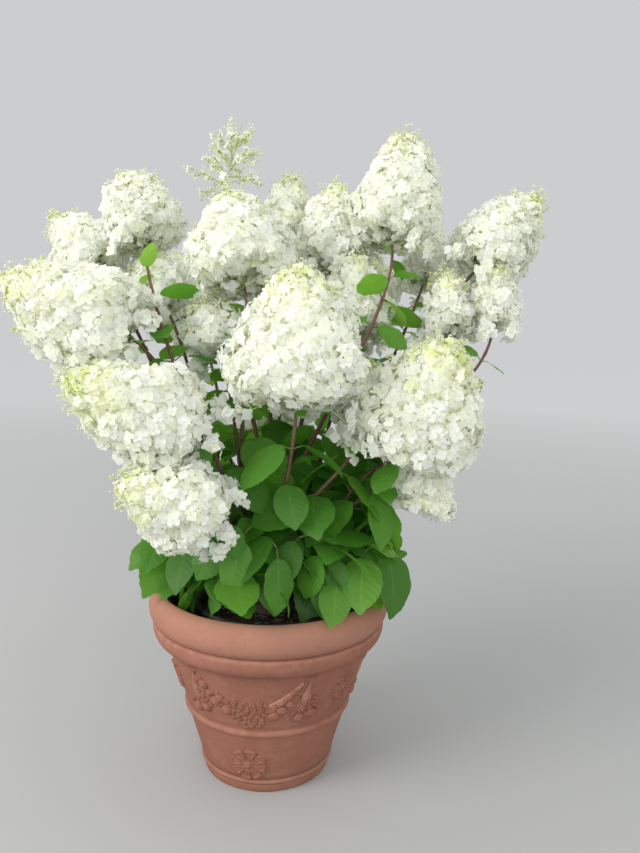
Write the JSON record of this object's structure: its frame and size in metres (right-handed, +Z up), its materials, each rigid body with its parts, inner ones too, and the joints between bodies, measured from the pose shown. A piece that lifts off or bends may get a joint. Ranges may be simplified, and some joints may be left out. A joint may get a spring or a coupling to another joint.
{
  "type": "potted panicle hydrangea shrub",
  "caption": "Flowering garden shrub with large cone-shaped white flower heads on leafy canes, standing in a rolled-rim clay planter with swags in relief.",
  "frame": {"origin": "centre of the planter's flat underside, at ground level", "axes": "+Z up along the planter's axis; -Y towards the side the picture was taken from; +X to its right"},
  "size_m": [1.2515, 0.9138, 1.6368],
  "materials": {
    "terracotta": "matte",
    "nursery_pot": "satin",
    "compost": "matte",
    "bark": "matte",
    "foliage": "satin",
    "petals": "matte"
  },
  "bodies": {
    "root": {"cane_centre_left": "bark", "cane_front_centre": "bark", "cane_left_back": "bark", "cane_left_front": "bark", "cane_left_outer": "bark", "cane_rear": "bark", "cane_rear_left": "bark", "cane_rear_right": "bark", "cane_right": "bark", "cane_right_front": "bark", "cane_right_outer": "bark", "cane_top": "bark", "cane_upper_right": "bark", "compost": "compost", "nursery_pot": "nursery_pot", "panicle_centre_left": "petals", "panicle_front_centre": "petals", "panicle_front_inner": "petals", "panicle_inner_right": "petals", "panicle_left_inner": "petals", "panicle_left_lower": "petals", "panicle_left_middle": "petals", "panicle_left_outer": "petals", "panicle_left_upper": "petals", "panicle_rear_left_high": "petals", "panicle_rear_left_low": "petals", "panicle_rear_low": "petals", "panicle_rear_middle": "petals", "panicle_rear_right_high": "petals", "panicle_rear_right_low": "petals", "panicle_right_between": "petals", "panicle_right_front": "petals", "panicle_right_low": "petals", "panicle_right_middle": "petals", "panicle_right_outer": "petals", "panicle_right_rear": "petals", "panicle_right_under": "petals", "panicle_small_left": "petals", "panicle_top_lacy": "petals", "panicle_upper_centre": "petals", "panicle_upper_inner": "petals", "panicle_upper_left": "petals", "panicle_upper_middle": "petals", "planter": "terracotta", "planter_bed": "compost", "spray_centre_left": "foliage", "spray_front_centre": "foliage", "spray_left_back": "foliage", "spray_left_front": "foliage", "spray_left_outer": "foliage", "spray_rear": "foliage", "spray_rear_left": "foliage", "spray_rear_right": "foliage", "spray_right": "foliage", "spray_right_front": "foliage", "spray_right_outer": "foliage", "spray_top": "foliage", "spray_upper_right": "foliage", "woody_stool": "bark"}
  },
  "joints": []
}
